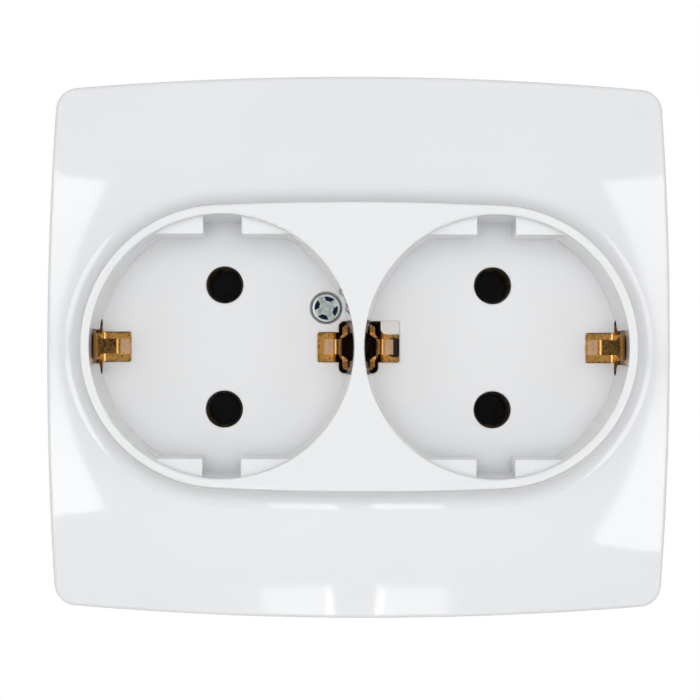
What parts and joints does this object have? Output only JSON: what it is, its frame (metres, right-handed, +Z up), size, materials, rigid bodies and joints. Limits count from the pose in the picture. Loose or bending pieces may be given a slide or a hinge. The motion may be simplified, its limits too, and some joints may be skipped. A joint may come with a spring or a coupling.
{
  "type": "double schuko socket",
  "caption": "Flush-mounted double earthed socket outlet for one round wall box, with screw terminals and spreading claws.",
  "frame": {"origin": "centre between the two box screw slots, in the plane of the wall at the frame's back face", "axes": "+X to the right seen from the front, +Y into the wall, +Z up"},
  "size_m": [0.0954, 0.0465, 0.083],
  "materials": {
    "cover_plastic": "glossy moulded white",
    "insulator_plastic": "matt moulded black",
    "base_plastic": "matt moulded black",
    "frame_steel": "galvanised sheet",
    "screw_steel": "zinc-plated",
    "contact_brass": "bright stamped",
    "earth_bronze": "rolled bronze"
  },
  "bodies": {
    "housing": {"cover": "cover_plastic", "cover_screw": "screw_steel", "cover_screw_insert": "contact_brass", "front_plate": "insulator_plastic", "support_frame": "frame_steel", "base": "base_plastic", "base_rivets": "screw_steel", "line_busbar": "contact_brass", "neutral_busbar": "contact_brass", "earth_strap": "earth_bronze", "inner_earth_clip": "earth_bronze", "earth_rivet": "contact_brass", "contact_spring_line_left": "screw_steel", "contact_spring_line_right": "screw_steel", "contact_spring_neutral_left": "screw_steel", "contact_spring_neutral_right": "screw_steel"},
    "claw_top": {"claw_top": "frame_steel"},
    "claw_screw_top": {"claw_screw_top": "screw_steel"},
    "claw_bottom": {"claw_bottom": "frame_steel"},
    "claw_screw_bottom": {"claw_screw_bottom": "screw_steel"},
    "line_clamp": {"line_clamp": "screw_steel"},
    "line_terminal_screw": {"line_terminal_screw": "screw_steel"},
    "neutral_clamp": {"neutral_clamp": "screw_steel"},
    "neutral_terminal_screw": {"neutral_terminal_screw": "screw_steel"},
    "earth_clamp": {"earth_clamp": "screw_steel"},
    "earth_terminal_screw": {"earth_terminal_screw": "screw_steel"}
  },
  "joints": [
    {"name": "claw_top_swing", "type": "hinge", "parent": "housing", "child": "claw_top", "pos_m": [0, -0.0005, 0.0225], "axis": [1, 0, 0], "range_deg": [0, 14]},
    {"name": "claw_screw_top_turn", "type": "hinge", "parent": "claw_top", "child": "claw_screw_top", "pos_m": [0, 0, 0.0225], "axis": [0, 1, 0], "range_deg": [0, 2160]},
    {"name": "claw_bottom_swing", "type": "hinge", "parent": "housing", "child": "claw_bottom", "pos_m": [0, -0.0005, -0.0225], "axis": [-1, 0, 0], "range_deg": [0, 14]},
    {"name": "claw_screw_bottom_turn", "type": "hinge", "parent": "claw_bottom", "child": "claw_screw_bottom", "pos_m": [0, 0, -0.0225], "axis": [0, 1, 0], "range_deg": [0, 2160]},
    {"name": "line_clamp_travel", "type": "slide", "parent": "housing", "child": "line_clamp", "axis": [0, 0, 1], "range_m": [-0.0019, 0]},
    {"name": "line_terminal_screw_turn", "type": "hinge", "parent": "line_clamp", "child": "line_terminal_screw", "pos_m": [-0.01, 0.008, 0.0176], "axis": [0, 0, -1], "range_deg": [0, 1140]},
    {"name": "neutral_clamp_travel", "type": "slide", "parent": "housing", "child": "neutral_clamp", "axis": [0, 0, -1], "range_m": [-0.0019, 0]},
    {"name": "neutral_terminal_screw_turn", "type": "hinge", "parent": "neutral_clamp", "child": "neutral_terminal_screw", "pos_m": [0.01, 0.008, -0.0176], "axis": [0, 0, 1], "range_deg": [0, 1140]},
    {"name": "earth_clamp_travel", "type": "slide", "parent": "housing", "child": "earth_clamp", "axis": [0, 0, 1], "range_m": [-0.0019, 0]},
    {"name": "earth_terminal_screw_turn", "type": "hinge", "parent": "earth_clamp", "child": "earth_terminal_screw", "pos_m": [0.01, 0.0185, 0.0173], "axis": [0, 0, -1], "range_deg": [0, 1140]}
  ],
  "couplings": [
    {"joint": "claw_screw_top_turn", "follows": "claw_top_swing", "ratio": 154.28},
    {"joint": "claw_screw_bottom_turn", "follows": "claw_bottom_swing", "ratio": 154.28},
    {"joint": "line_terminal_screw_turn", "follows": "line_clamp_travel", "rad_per_m": -10472},
    {"joint": "neutral_terminal_screw_turn", "follows": "neutral_clamp_travel", "rad_per_m": -10472},
    {"joint": "earth_terminal_screw_turn", "follows": "earth_clamp_travel", "rad_per_m": -10472}
  ]
}
